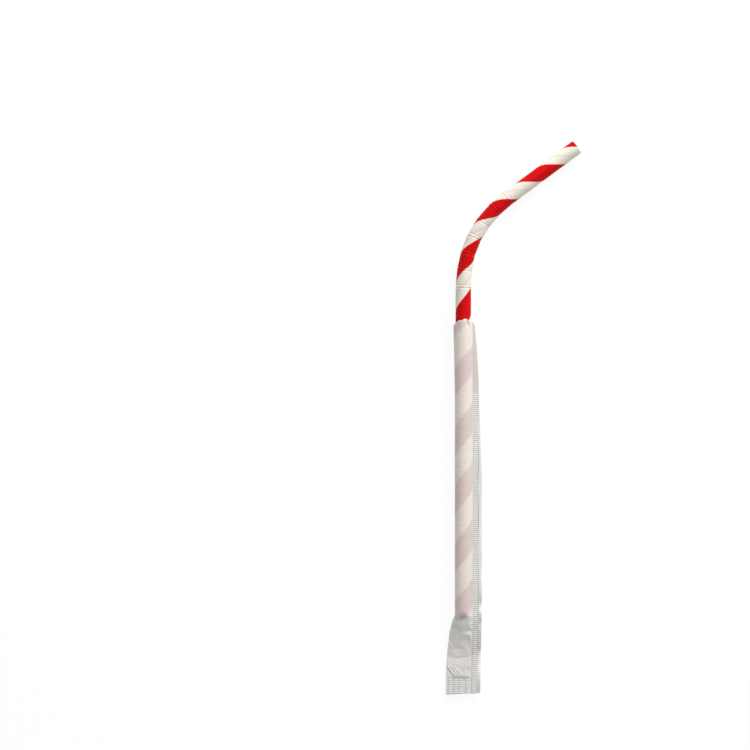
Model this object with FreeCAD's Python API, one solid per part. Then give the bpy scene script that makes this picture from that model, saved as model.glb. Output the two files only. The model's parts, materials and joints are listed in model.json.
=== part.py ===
import FreeCAD, Part
import math
import os
from FreeCAD import Placement, Rotation, Vector

# A striped paper drinking straw, half out of its paper wrapper, lying on a flat surface.
# The straw is one wound paper tube: a long straight shank, a flexible neck of pressed
# creases that has been bent over, and a straight drinking tip. The wrapper is one thin
# folded sheet: a sleeve round the shank, closed by a knurled seam along its right side and
# by a crimp across its flat tail, and torn open at the mouth. Sizes are in millimetres.

# Straw: the tube
straw_diameter = 6.0
straw_wall = 0.4
shank_length = 125.0
tip_length = 32.7

# Straw: the creased neck. Each crease is a low ridge between two pressed grooves.
crease_count = 7
crease_pitch = 6.55
bend_angle = 53.4
bend_evenness = 0.57
ridge_width = 1.0
ridge_height = 0.05
groove_width = 0.5
groove_depth = 0.14

# Wrapper: the sheet and its sleeve
paper = 0.1
straw_slack = 0.1
end_clearance = 0.3
covered_length = 110.3
seam_offset = 0.52
knurl_width = 2.0
margin_width = 1.3
knurled_length = 84.5
margin_taper_length = 30.0
trimmed_margin = 0.15
mouth_flare = 0.4
flare_lean = 0.5
fin_droop_angle = 72.0

# Wrapper: how finely the sheet is panelled, across each crease's panel and between its rows
panel_steps = 5
rows_between = 4
mouth_rows = 8

# Wrapper: the flat tail beyond the straw's end
tail_length = 30.7
crimp_length = 6.5
crimp_gather = 0.4
collapse_length = 6.5
tail_lean_angle = 1.0
end_cut_angle = 3.5
tail_dip_place = 16.0
tail_dip_height = 1.0
tail_end_height = 1.6
closest_plies = 2.2
fold_inset = 1.5

# Wrapper: the creases of the crumpled tail, from the straw's end down to the crimp. Each row is
# a place on the tail as a share of its free length, then for the left and the right crease its
# place across the pocket and how far it is puffed up, each as a share of the most there is.
tail_creases = [
    (0.07, 0.38, 0.95, 0.80, 0.85),
    (0.29, 0.25, 0.65, 0.72, 1.00),
    (0.66, 0.40, 0.55, 0.62, 0.25),
    (0.88, 0.22, 0.35, 0.60, 0.45),
]

# Wrapper: knurling of the seam and of the crimp
rib_pitch = 0.78
rib_height = 0.1
rib_foot = 0.8
crimp_column_pitch = 2.15
crimp_column_gap = 0.35
knurl_end_gap = 0.3

# Wrapper: the torn mouth
tear_rise = 2.2
tear_peak_offset = 0.6
tear_tooth = 0.2
tooth_pitch = 2.7
fine_tooth_pitch = 1.2
fine_tooth_share = 0.6
tear_steps = 24
tear_allowance = 1.0
far_ply_drop = 0.9

# Worked out from the sizes above
straw_radius = straw_diameter / 2
sleeve_radius = straw_radius + straw_slack + paper
axis_height = sleeve_radius
seam_start = sleeve_radius + seam_offset
knurl_end = seam_start + knurl_width
sheet_edge = knurl_end + margin_width
tear_reach = tear_rise + 2.0 * tear_tooth
sleeve_top = covered_length + tear_reach + tear_allowance
Z_AXIS = Vector(0, 0, 1)


def closed_polygon(corners):
    return Part.makePolygon(corners + corners[:1])


# Straw

def crease_turns():
    """The turn at each crease in degrees: most in the middle of the neck, least at its ends."""
    shares = [
        math.sin(math.pi * (index + 0.5) / crease_count) ** bend_evenness
        for index in range(crease_count)
    ]
    return [bend_angle * share / sum(shares) for share in shares]


def straw_route():
    """The centreline's corners, and the heading of each run between them, turned from +Y to +X."""
    lengths = [shank_length] + [crease_pitch] * (crease_count - 1) + [tip_length]
    headings = [0.0]
    for turn in crease_turns():
        headings.append(headings[-1] + turn)
    corners = [Vector(0, 0, axis_height)]
    for length, heading in zip(lengths, headings):
        corners.append(corners[-1] + run_direction(heading) * length)
    return corners, headings


def run_direction(heading):
    angle = math.radians(heading)
    return Vector(math.sin(angle), math.cos(angle), 0)


def run_outline(length, crease_at_start, crease_at_end):
    """A run's outside as (along, out) points, run on past a crease to be mitred there.

    A crease stands out by its ridge on the mitre, dips into a groove on either side of it, and
    then meets the plain tube.
    """
    dip = ridge_width / 2
    plain = dip + groove_width
    outline = [(0.0, 0.0)]
    if crease_at_start:
        outline = [(-straw_radius, ridge_height), (0.0, ridge_height)]
        outline += [(dip, -groove_depth), (plain, 0.0)]
    if crease_at_end:
        outline += [(length - plain, 0.0), (length - dip, -groove_depth)]
        outline += [(length, ridge_height), (length + straw_radius, ridge_height)]
    else:
        outline.append((length, 0.0))
    return outline


def straw_run(start, heading, length, crease_at_start, crease_at_end):
    """One straight run of tube, turned from its wall's outline about the run's own axis."""
    outline = run_outline(length, crease_at_start, crease_at_end)
    outside = [Vector(straw_radius + out, 0, along) for along, out in outline]
    bore_radius = straw_radius - straw_wall
    bore = [Vector(bore_radius, 0, outline[-1][0]), Vector(bore_radius, 0, outline[0][0])]
    tube = Part.Face(closed_polygon(outside + bore)).revolve(Vector(0, 0, 0), Z_AXIS, 360)
    tube.Placement = Placement(start, Rotation(Z_AXIS, run_direction(heading)))
    return tube


def beyond_mitre(corner, direction):
    """The half space on the far side of a mitre plane through a corner, as a block."""
    size = 2.0 * crease_pitch
    block = Part.makeBox(size, size, size, Vector(-size / 2, -size / 2, 0))
    block.Placement = Placement(corner, Rotation(Z_AXIS, direction))
    return block


def make_straw():
    corners, headings = straw_route()
    runs = []
    for index, heading in enumerate(headings):
        start, end = corners[index], corners[index + 1]
        first, last = index == 0, index == len(headings) - 1
        run = straw_run(start, heading, (end - start).Length, not first, not last)
        if not first:
            mitre = run_direction((headings[index - 1] + heading) / 2)
            run = run.cut(beyond_mitre(start, mitre * -1))
        if not last:
            mitre = run_direction((heading + headings[index + 1]) / 2)
            run = run.cut(beyond_mitre(end, mitre))
        runs.append(run)
    return runs[0].multiFuse(runs[1:])


# Wrapper: the sheet as rows of corners. A row lies in a plane of constant y and runs from the
# left fold over the upper ply to the seam, round the fin, and back under along the lower ply.
# The same place on the sheet has the same place in every row, so the panels between two rows
# are creased but not stretched.

def tangent_angle(radius, reach, rise):
    """Where a straight ply from the point (reach, rise) comes down onto the round sleeve."""
    distance = math.hypot(reach, rise)
    return math.atan2(rise, reach) + math.acos(radius / distance)


def girth():
    """The paper from the left fold round one ply to the seam, the same all along the wrapper."""
    angle = tangent_angle(sleeve_radius, seam_start, paper)
    return sleeve_radius * (math.pi - angle + math.tan(angle))


def tail_stations():
    """Where the tail's rows stand, from beyond its cut end up to its first crease."""
    crimp_top = crimp_length - tail_length
    free = crimp_top + end_clearance
    creases = [free * crease[0] - end_clearance for crease in reversed(tail_creases)]
    return [-tail_length - knurl_width, crimp_top] + creases


def dipping_height(y):
    """The mid-plane's height: down from the straw to a dip, then up a little to the cut end."""
    if y >= 0:
        return axis_height
    if y >= -tail_dip_place:
        share = 0.5 - 0.5 * math.cos(math.pi * y / tail_dip_place)
        return axis_height + (tail_dip_height - axis_height) * share
    share = (y + tail_dip_place) / (tail_dip_place - tail_length)
    return tail_dip_height + (tail_end_height - tail_dip_height) * share


def sheet_height(y):
    """The mid-plane's height on the straight runs between the tail's rows."""
    places = tail_stations() + [-end_clearance]
    for low, high in zip(places, places[1:]):
        if low <= y <= high:
            share = (y - low) / (high - low)
            return dipping_height(low) + (dipping_height(high) - dipping_height(low)) * share
    return axis_height


def left_fold_of_tail(y):
    """The tail spreads to the left as the pocket falls flat."""
    full_spread = girth() - crimp_gather - sleeve_radius - seam_start
    return -sleeve_radius - full_spread * (1 - math.exp(y / collapse_length))


def lean(y):
    """How far the seam has drifted to the left at a place on the tail."""
    return math.tan(math.radians(tail_lean_angle)) * min(y + end_clearance, 0)


def fin_corners(y, seam, height, margin, droop):
    """The seam's fin, turned down about its root: knurled part, step, margin, edge, underside."""
    turn = math.radians(droop)

    def on_fin(along, up):
        return Vector(
            seam + along * math.cos(turn) + up * math.sin(turn),
            y,
            height - along * math.sin(turn) + up * math.cos(turn),
        )

    return [
        on_fin(0, paper),
        on_fin(knurl_width, paper),
        on_fin(knurl_width, 0),
        on_fin(knurl_width + margin, 0),
        on_fin(knurl_width + margin, -paper),
        on_fin(0, -paper),
    ]


def round_row(y, inset, flare=0.0, margin=margin_width, droop=0.0):
    """The sleeve round the straw: an arc, and two plies straight from it to the seam.

    A flare widens the arc and moves it up and to the left, so that its underside and its seam
    stay where they are.
    """
    radius = sleeve_radius + flare
    centre = -flare * flare_lean
    height = axis_height + flare
    angle = tangent_angle(radius, seam_start - centre, paper)
    fold = 0.0 if inset else math.asin(paper / radius)
    size = radius - inset

    def at(turn):
        return Vector(centre + size * math.cos(turn), y, height + size * math.sin(turn))

    steps = 3 * panel_steps - 1
    step = (math.pi - fold - angle) / steps
    turns = [math.pi - fold - step * index for index in range(steps + 1)]
    upper = [at(turn) for turn in turns]
    lower = [at(-turn) for turn in reversed(turns)]
    if inset:
        cusp = Vector(centre + size / math.cos(angle), y, height)
        return upper + [cusp] + lower[:-1]
    return upper + fin_corners(y, seam_start, height, margin, droop) + lower


def evenly(line, steps):
    """Points along a bent line: as many even steps on each of its straight stretches."""
    points = [line[0]]
    for a, b in zip(line, line[1:]):
        points += [a + (b - a) * (index / steps) for index in range(1, steps + 1)]
    return points


def flat_row(y, inset, near_place=1 / 3, near_puff=0.0, far_place=2 / 3, far_puff=0.0):
    """The tail's pocket: the upper ply runs over two creases, the lower ply over two more."""
    seam = seam_start + lean(y)
    left = left_fold_of_tail(y) + lean(y)
    height = sheet_height(y)
    width = seam - left
    slant = (girth() - width / 3) / 2
    most = math.sqrt(max(slant ** 2 - (width / 3) ** 2, 0))
    flat = near_puff == 0 and far_puff == 0
    least = paper if flat else closest_plies * paper
    near_rise, far_rise = max(most * near_puff, least), max(most * far_puff, least)
    drop = min((near_rise + far_rise) / 2, height - paper / 2)
    near, far = left + width * near_place, left + width * far_place
    blunt = fold_inset * paper if inset else 0.0
    lip = 0.0 if inset else paper

    def ply(left_up, near_up, far_up, seam_up):
        line = [(left + blunt, left_up), (near, near_up), (far, far_up), (seam - blunt, seam_up)]
        return evenly([Vector(x, y, height + up) for x, up in line], panel_steps)[:-1]

    upper = ply(lip, near_rise - inset, far_rise - inset, lip)
    lower = ply(-lip, inset - drop, inset - drop, -lip)[::-1]
    if inset:
        return upper + [Vector(seam - blunt, y, height)] + lower[:-1]
    return upper + fin_corners(y, seam, height, margin_width, 0.0) + lower


def creased_solid(rows):
    """A closed solid through rows of corners, each four-sided panel creased on its diagonal."""
    faces = [Part.Face(closed_polygon(rows[0])), Part.Face(closed_polygon(rows[-1]))]
    for row, next_row in zip(rows, rows[1:]):
        for index in range(len(row)):
            panel = [row[index - 1], row[index], next_row[index], next_row[index - 1]]
            faces.append(Part.Face(closed_polygon(panel[:3])))
            faces.append(Part.Face(closed_polygon([panel[0], panel[2], panel[3]])))
    return Part.Solid(Part.Shell(faces))


def with_rows_between(rows, steps):
    """The same rows with others between them, on straight lines from corner to corner."""
    filled = [rows[0]]
    for row, next_row in zip(rows, rows[1:]):
        for index in range(1, steps + 1):
            share = index / steps
            filled.append([a + (b - a) * share for a, b in zip(row, next_row)])
    return filled


def sheet_form(inset):
    """The wrapper's whole outer form, or with an inset the hollow inside its ply."""
    places = tail_stations()
    tail = [] if inset else [flat_row(y, inset) for y in places[:2]]
    for y, crease in zip(places[2:], reversed(tail_creases)):
        tail.append(flat_row(y, inset, *crease[1:]))
    tail.append(round_row(-end_clearance, inset))
    sleeve = [
        round_row(knurled_length - margin_taper_length, inset),
        round_row(knurled_length, inset, 0.0, trimmed_margin),
    ]
    mouth_length = sleeve_top + inset - knurled_length
    shares = [index / mouth_rows for index in range(1, mouth_rows + 1)]
    mouth = [
        round_row(
            knurled_length + mouth_length * share,
            inset,
            mouth_flare * share,
            trimmed_margin,
            fin_droop_angle * share,
        )
        for share in shares
    ]
    return creased_solid(with_rows_between(tail, rows_between) + sleeve + mouth)


# Wrapper: knurling

def knurl_strip(x, width, y_from, y_to):
    """A strip pressed into ribs, which stand proud of the upper and the lower ply by turns."""
    steps = max(int((y_to - y_from) / (rib_pitch / 2)), 2)
    upper, lower = [], []
    for index in range(steps + 1):
        y = y_from + (y_to - y_from) * index / steps
        proud, sunk = paper + rib_height, paper * rib_foot
        up, down = (proud, sunk) if index % 2 else (sunk, proud)
        upper.append(Vector(x, y, sheet_height(y) + up))
        lower.append(Vector(x, y, sheet_height(y) - down))
    return Part.Face(closed_polygon(upper + lower[::-1])).extrude(Vector(width, 0, 0))


def leaned(shape):
    """Turns what lies on the tail to the seam's lean there."""
    turned = shape.copy()
    turned.rotate(Vector(seam_start, -end_clearance, 0), Z_AXIS, -tail_lean_angle)
    return turned


def knurled_strips():
    """The seam's knurling up the sleeve and down the tail, and the crimp's columns beside it."""
    low = knurl_end_gap - tail_length
    high = crimp_length - tail_length - knurl_end_gap
    x = seam_start + paper
    width = knurl_width - 2 * paper
    strips = [knurl_strip(x, width, -end_clearance - paper, knurled_length)]
    strips.append(leaned(knurl_strip(x, width, low, -end_clearance)))
    columns = int((girth() - crimp_column_gap) / crimp_column_pitch)
    for column in range(1, columns + 1):
        column_width = crimp_column_pitch - crimp_column_gap
        strip = knurl_strip(x - column * crimp_column_pitch, column_width, low, high)
        strips.append(leaned(strip))
    return strips


# Wrapper: torn mouth and cut end

def torn_edge(drop):
    """The torn line across one ply, from left to right: an arch broken by uneven teeth."""
    edge = []
    for step in range(tear_steps + 1):
        x = sheet_edge * (2 * step / tear_steps - 1)
        arch = max(1 - ((x - tear_peak_offset) / sleeve_radius) ** 2, -1.0)
        tooth = math.sin(2 * math.pi * x / tooth_pitch + drop)
        fine_tooth = math.sin(2 * math.pi * x / fine_tooth_pitch + 2 * drop)
        teeth = tear_tooth * (tooth + fine_tooth_share * fine_tooth)
        edge.append((x, covered_length + tear_rise * (0.5 + 0.5 * arch) - drop + teeth))
    return edge


def torn_away(drop, z_from, z_to):
    """What the tear takes off one ply: all above its torn line."""
    edge = [Vector(x, y, z_from) for x, y in torn_edge(drop)]
    beyond = sleeve_top + tear_reach
    corners = edge + [Vector(edge[-1].x, beyond, z_from), Vector(edge[0].x, beyond, z_from)]
    return Part.Face(closed_polygon(corners)).extrude(Vector(0, 0, z_to - z_from))


def end_cut():
    """What the angled cut takes off the tail's end."""
    reach = 4 * sheet_edge
    block = Part.makeBox(2 * reach, reach, 2 * axis_height, Vector(-reach, -reach, 0))
    block.rotate(Vector(0, 0, 0), Z_AXIS, end_cut_angle)
    block.translate(Vector(0, -tail_length, 0))
    return block


def make_wrapper():
    """The hollow sheet, torn off lower at its far ply than at its near one, knurled and cut."""
    wrapper = sheet_form(0.0).cut(sheet_form(paper))
    parting = axis_height + mouth_flare / 2
    wrapper = wrapper.cut(torn_away(0.0, parting - paper, 3 * axis_height))
    wrapper = wrapper.cut(torn_away(far_ply_drop, -axis_height, parting))
    wrapper = wrapper.multiFuse(knurled_strips())
    return wrapper.cut(end_cut()).removeSplitter()


# The finished part: the origin goes under the middle of the whole outline, on the surface.

def main():
    pieces = {"straw": make_straw(), "wrapper": make_wrapper()}
    outline = Part.makeCompound(list(pieces.values())).optimalBoundingBox(False)
    middle = Vector(-outline.Center.x, -outline.Center.y, 0)
    os.makedirs("parts", exist_ok=True)
    for name, shape in pieces.items():
        shape.translate(middle)
        solid = shape.Solids[0]
        print(name, "solids", len(shape.Solids), "valid", shape.isValid(), "faces",
              len(shape.Faces), "volume", round(shape.Volume, 2))
        solid.exportStep("parts/" + name + ".step")
    print("moved by", middle, "box", outline)


main()
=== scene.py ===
import json
import math

import bpy
import numpy as np
from bpy.props import FloatProperty, FloatVectorProperty, IntProperty, PointerProperty
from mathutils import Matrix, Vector, noise
from mathutils.geometry import delaunay_2d_cdt

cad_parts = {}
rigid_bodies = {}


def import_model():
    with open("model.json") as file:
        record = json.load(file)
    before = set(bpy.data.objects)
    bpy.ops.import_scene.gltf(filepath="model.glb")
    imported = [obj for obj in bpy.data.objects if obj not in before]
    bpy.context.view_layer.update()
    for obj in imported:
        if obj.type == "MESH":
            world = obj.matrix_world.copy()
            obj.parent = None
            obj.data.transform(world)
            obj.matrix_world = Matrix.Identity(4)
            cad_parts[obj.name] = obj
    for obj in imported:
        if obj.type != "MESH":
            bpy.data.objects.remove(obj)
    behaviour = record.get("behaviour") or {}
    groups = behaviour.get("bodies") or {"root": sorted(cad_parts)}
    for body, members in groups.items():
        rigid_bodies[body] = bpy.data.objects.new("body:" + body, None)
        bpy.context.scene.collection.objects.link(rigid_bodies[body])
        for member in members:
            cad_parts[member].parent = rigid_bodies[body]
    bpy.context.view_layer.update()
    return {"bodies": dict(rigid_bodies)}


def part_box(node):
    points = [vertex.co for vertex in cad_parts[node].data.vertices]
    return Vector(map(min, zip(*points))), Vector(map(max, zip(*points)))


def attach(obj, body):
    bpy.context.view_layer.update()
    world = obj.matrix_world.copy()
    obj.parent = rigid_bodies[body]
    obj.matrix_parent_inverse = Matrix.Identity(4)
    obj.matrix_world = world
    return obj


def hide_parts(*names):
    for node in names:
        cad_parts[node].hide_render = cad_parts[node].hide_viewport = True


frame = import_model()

bl_info = {
    "name": "Wrapped paper straw",
    "version": (1, 0, 0),
    "blender": (4, 5, 0),
    "location": "3D Viewport > Sidebar > Straw",
    "description": "Builds a striped paper straw, bent at its neck, half out of its torn wrapper",
    "category": "Add Mesh",
}

MM = 0.001
STRAW_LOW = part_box("straw")[0]
WRAPPER_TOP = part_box("wrapper")[1].z
BODY = next(iter(frame["bodies"]))


# Properties

def length(name, description, millimetres, lowest=0.0):
    return FloatProperty(name=name, description=description, default=millimetres * MM,
                         min=lowest * MM, unit="LENGTH", precision=5)


def angle(name, description, degrees):
    return FloatProperty(name=name, description=description, default=math.radians(degrees),
                         subtype="ANGLE")


def share(name, description, default):
    return FloatProperty(name=name, description=description, default=default, min=0.0,
                         max=2.0, subtype="FACTOR")


def colour(name, description, red, green, blue):
    """A colour property; its three values are given as they look on a screen, 0 to 255."""
    def linear(value):
        value /= 255
        return value / 12.92 if value <= 0.04045 else ((value + 0.055) / 1.055) ** 2.4

    return FloatVectorProperty(name=name, description=description, min=0.0, max=1.0,
                               default=(linear(red), linear(green), linear(blue)),
                               subtype="COLOR")


class StrawSizes(bpy.types.PropertyGroup):
    diameter: length("Diameter", "Outside diameter of the paper tube", 6.0)
    wall: length("Wall", "Thickness of the wound paper wall", 0.4)
    shank: length("Shank", "Straight length below the creased neck", 125.0)
    tip: length("Tip", "Straight length beyond the creased neck", 32.7)
    crease_count: IntProperty(
        name="Creases", description="Number of pressed creases in the neck", default=7, min=2
    )
    crease_pitch: length("Crease pitch", "Distance from one crease to the next", 6.55)
    bend: angle("Bend", "How far the neck is bent over in all", 53.4)
    bend_evenness: share("Bend evenness", "Zero shares the bend evenly between creases", 0.57)
    ridge_height: length("Ridge height", "How far a crease's ridge stands out", 0.05)
    groove_depth: length("Groove depth", "How deep the pressed line beside a ridge is", 0.16)
    groove_place: length("Groove place", "From a ridge to the pressed line beside it", 0.5)
    groove_width: length("Groove width", "Breadth of a pressed line", 0.24)
    crease_take_up: length("Crease take-up", "Paper that one crease swallows", 0.3)
    squeeze: share("Squeeze", "How much narrower the bent end is than the shank", 0.06)
    ply_step: length("Ply step", "Step where the outer ply's edge is wound on", 0.06)
    stripe_pitch: length("Stripe pitch", "Distance along the straw from stripe to stripe", 22.3)
    stripe_start: length(
        "Stripe start", "Where a stripe starts on top, from the shank's end", -1.95, -50.0
    )


class WrapperSizes(bpy.types.PropertyGroup):
    paper: length("Paper", "Thickness of the sheet as modelled", 0.1)
    slack: length("Slack", "Room between the straw and the sleeve", 0.1)
    covered: length("Covered length", "How far the sleeve reaches up the straw", 110.3)
    seam_offset: length("Seam offset", "From the sleeve's side to the seam's root", 0.52)
    knurl_width: length("Knurl width", "Width of the knurled strip of the seam", 2.0)
    margin: length("Margin", "Single ply beyond the knurled strip", 1.3)
    trimmed_margin: length("Trimmed margin", "What is left of the margin at the mouth", 0.15)
    knurled: length("Knurled length", "How far the knurling reaches up the sleeve", 84.5)
    margin_taper: length("Margin taper", "Length over which the margin runs out", 30.0)
    tail: length("Tail", "Flat length beyond the straw's end", 30.7)
    crimp: length("Crimp", "Length of the crimp at the cut end", 6.5)
    flare: length("Mouth flare", "How far the torn mouth stands open", 0.4)
    droop: angle("Seam droop", "How far the seam is folded down at the mouth", 72.0)
    rib_pitch: length("Rib pitch", "Distance from one knurl rib to the next", 0.78)
    rib_height: length("Rib height", "How far a knurl rib stands out", 0.14)


class PaperColours(bpy.types.PropertyGroup):
    red: colour("Red print", "Stripe of the straw", 224, 4, 10)
    white: colour("White print", "Paper between the stripes", 250, 243, 229)
    core: colour("Core paper", "Unprinted paper at the bore and the rims", 226, 216, 196)
    sheet: colour("Wrapping paper", "The thin sheet where nothing is behind it", 232, 230, 226)
    margin: colour("Single ply", "The seam's margin, where the sheet is one ply thick",
                   244, 242, 238)
    # Painted shade: the unpressed seam at the mouth, two plies thick, darkened where it folds
    # down.
    seam_shade_at_mouth: colour("Seam at the mouth", "The unpressed seam, folded down at the mouth",
                       210, 201, 195)
    pocket: colour("Empty pocket", "The sheet over the empty pocket of the tail", 236, 233, 228)
    torn: colour("Torn edge", "Loose fibres along the torn mouth", 250, 248, 244)
    # Painted highlight: the ribs' crests, lighter than the sheet as if catching the light.
    pressed: colour("Pressed paper", "The ribs of the knurling", 250, 250, 248)
    # Painted shade: the furrows between the ribs, darker as if in shade.
    between: colour("Between ribs", "The furrows between the ribs of the knurling",
                    200, 198, 194)
    over_white: colour("Sheet over white", "The sheet where the straw's white shows through",
                       244, 234, 223)
    over_red: colour("Sheet over red", "The sheet where the straw's red shows through",
                     229, 209, 206)


class StageSettings(bpy.types.PropertyGroup):
    frame_width: length("Frame width", "Width of the picture at the floor", 287.5)
    lens: FloatProperty(
        name="Lens", description="Focal length of the camera", default=100.0, unit="CAMERA"
    )
    key_power: FloatProperty(
        name="Key light", description="Power of the soft light from the upper right",
        default=8.4, unit="POWER",
    )
    fill_strength: share("Fill light", "Strength of the even light from all sides", 0.44)


# Node graphs

class Wire:
    """An output socket in a node graph, which takes part in Python arithmetic."""

    def __init__(self, graph, socket):
        self.graph = graph
        self.socket = socket

    def math(self, operation, *values):
        return self.graph.math(operation, self, *values)

    def out(self, name):
        return Wire(self.graph, self.socket.node.outputs[name])

    def __add__(self, other):
        return self.math("ADD", other)

    def __sub__(self, other):
        return self.math("SUBTRACT", other)

    def __mul__(self, other):
        return self.math("MULTIPLY", other)

    def __truediv__(self, other):
        return self.math("DIVIDE", other)

    def __pow__(self, other):
        return self.math("POWER", other)

    def __abs__(self):
        return self.math("ABSOLUTE")

    def __radd__(self, other):
        return self.graph.math("ADD", other, self)

    def __rsub__(self, other):
        return self.graph.math("SUBTRACT", other, self)

    def __rtruediv__(self, other):
        return self.graph.math("DIVIDE", other, self)


class Graph:
    """Adds nodes to a shader or geometry node tree."""

    def __init__(self, tree):
        self.tree = tree

    def node(self, kind, settings=None, inputs=None, output=0):
        made = self.tree.nodes.new(kind)
        for name, value in (settings or {}).items():
            setattr(made, name, value)
        for name, value in (inputs or {}).items():
            if isinstance(value, Wire):
                self.tree.links.new(value.socket, made.inputs[name])
            else:
                made.inputs[name].default_value = value
        return Wire(self, made.outputs[output]) if len(made.outputs) else made

    def math(self, operation, *values):
        return self.node("ShaderNodeMath", {"operation": operation}, dict(enumerate(values)))

    def clamp(self, value):
        return self.node("ShaderNodeClamp", None, {"Value": value})

    def smooth(self, value, low, high):
        """Rises smoothly from 0 to 1 as the value goes from low to high."""
        inputs = {"Value": value, "From Min": low, "From Max": high}
        return self.node("ShaderNodeMapRange", {"interpolation_type": "SMOOTHSTEP"}, inputs)

    def fall(self, value, low, high):
        """Falls smoothly from 1 to 0 as the value goes from low to high."""
        return 1.0 - self.smooth(value, low, high)

    def mix(self, factor, first, second):
        inputs = {0: factor, 6: first, 7: second}
        return self.node("ShaderNodeMix", {"data_type": "RGBA"}, inputs, 2)

    def combine(self, x, y, z):
        return self.node("ShaderNodeCombineXYZ", None, {"X": x, "Y": y, "Z": z})

    def separate(self, vector):
        parts = self.node("ShaderNodeSeparateXYZ", None, {0: vector})
        return [parts.out(name) for name in "XYZ"]

    def stretched(self, vector, scale):
        return self.node("ShaderNodeVectorMath", {"operation": "MULTIPLY"}, {0: vector, 1: scale})

    def spot(self):
        """The shaded point on the piece itself."""
        return self.node("ShaderNodeTexCoord").out("Object")

    def attribute(self, name):
        return self.node("ShaderNodeAttribute", {"attribute_name": name}).out("Fac")

    def noise(self, vector, scale, detail=2.0, roughness=0.5):
        inputs = {"Vector": vector, "Scale": scale, "Detail": detail, "Roughness": roughness}
        return self.node("ShaderNodeTexNoise", None, inputs)

    def stored(self, geometry, name, value):
        """The geometry with a named number on each point, in a geometry tree."""
        settings = {"data_type": "FLOAT", "domain": "POINT"}
        inputs = {"Geometry": geometry, "Name": name, "Value": value}
        return self.node("GeometryNodeStoreNamedAttribute", settings, inputs)

    def named(self, name):
        """A number that was stored on the points, in a geometry tree."""
        settings = {"data_type": "FLOAT"}
        return self.node("GeometryNodeInputNamedAttribute", settings, {"Name": name})


# Materials

# The straw's UV map has so many units to a metre of its length.
UV_PER_METRE = 10
# Where the outer ply's seam lies round the straw, in turns from a stripe's start.
PLY_SEAM = 0.73
# Tints, not paper colours: the paper's laid line, painted shade where the straw's end pinches the
# fold, and painted shadow along a ply's edge.
LAID_SHADE = (0.35, 0.31, 0.3, 1.0)
PINCH_SHADE = (0.27, 0.22, 0.22, 1.0)
EDGE_SHADE = (0.24, 0.23, 0.22, 1.0)


def rgba(value, shade=1.0):
    """A colour with its alpha, darkened where a shade below 1 is given."""
    return (*(shade * part for part in value), 1.0)


def new_material(name):
    material = bpy.data.materials.new(name)
    material.use_nodes = True
    material.node_tree.nodes.clear()
    return material, Graph(material.node_tree)


def mottled(graph, pattern, value, shade, low=0.3, high=0.7):
    """A colour that turns to a darker shade of itself where the pattern is high."""
    return graph.mix(graph.smooth(pattern, low, high), rgba(value), rgba(value, shade))


def thin_paper(graph, spot):
    """Fine fibres and broader clouds, which the sheet has everywhere."""
    return graph.noise(spot, 2400.0, 3.0, 0.6), graph.noise(spot, 420.0, 3.0, 0.6)


def finish_paper(graph, base, rough, height, bump_distance, **constants):
    """A Principled shader with paper's own settings, wired to the material's output."""
    normal = graph.node(
        "ShaderNodeBump", None, {"Height": height, "Distance": bump_distance, "Strength": 1.0}
    )
    inputs = {"Base Color": base, "Roughness": rough, "Normal": normal}
    shader = graph.node("ShaderNodeBsdfPrincipled", None, {**inputs, **constants})
    graph.node("ShaderNodeOutputMaterial", None, {"Surface": shader})


def stripe_mask(graph, around, along, straw, softness):
    """One where the straw is red: a helix of even stripes, from turns around and metres along."""
    turns = (along - straw.stripe_start) / straw.stripe_pitch - around
    from_middle = abs((turns - 0.25 + 0.5).math("FRACT") - 0.5)
    return graph.smooth(0.25 - from_middle, -softness, softness)


def striped_paper(straw, colours):
    """The straw's printed outer ply, with the seam where its edges meet and painted shade beside
    it.
    """
    material, graph = new_material("striped_paper")
    around, printed, _ = graph.separate(graph.node("ShaderNodeUVMap", {"uv_map": "winding"}))
    along = printed * (1 / UV_PER_METRE)
    spot = graph.spot()
    fibres = graph.noise(spot, 2600.0, 3.0, 0.6)
    blotches = graph.noise(spot, 320.0, 2.0)
    wound = (along - straw.stripe_start) / straw.stripe_pitch - around
    streaks = graph.noise(graph.combine(wound * 34.0, along * 30.0, 0.0), 1.0, 3.0, 0.65)
    from_seam = (wound - PLY_SEAM + 0.5).math("FRACT") - 0.5
    # A darker line at the seam, partly the joint and partly painted shade of the ply's step, and
    # painted shade along one side of it.
    seam = graph.fall(abs(from_seam), 0.004, 0.02)
    painted_step_shade = graph.fall(from_seam, 0.0, 0.11) * graph.smooth(from_seam, -0.01, 0.01)
    red = stripe_mask(graph, around + (fibres - 0.5) * 0.012, along, straw, 0.004)
    ink = mottled(graph, blotches, colours.red, 0.82)
    plain = mottled(graph, streaks, colours.white, 0.84, 0.4, 0.72)
    plain = graph.mix(seam * 0.5 + painted_step_shade * 0.22, plain, rgba(colours.white, 0.6))
    base = graph.mix(red, plain, ink)
    height = fibres * 0.5 + streaks * 0.5
    finish_paper(graph, base, 0.46 + streaks * 0.2, height, 0.04 * MM,
                 **{"Specular IOR Level": 0.12})
    return material


def core_paper(colours):
    material, graph = new_material("core_paper")
    fibres = graph.noise(graph.spot(), 3000.0, 3.0, 0.6)
    base = graph.mix(fibres, rgba(colours.core), rgba(colours.core, 0.85))
    finish_paper(graph, base, 0.75 + fibres * 0.15, fibres, 0.04 * MM)
    return material


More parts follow.
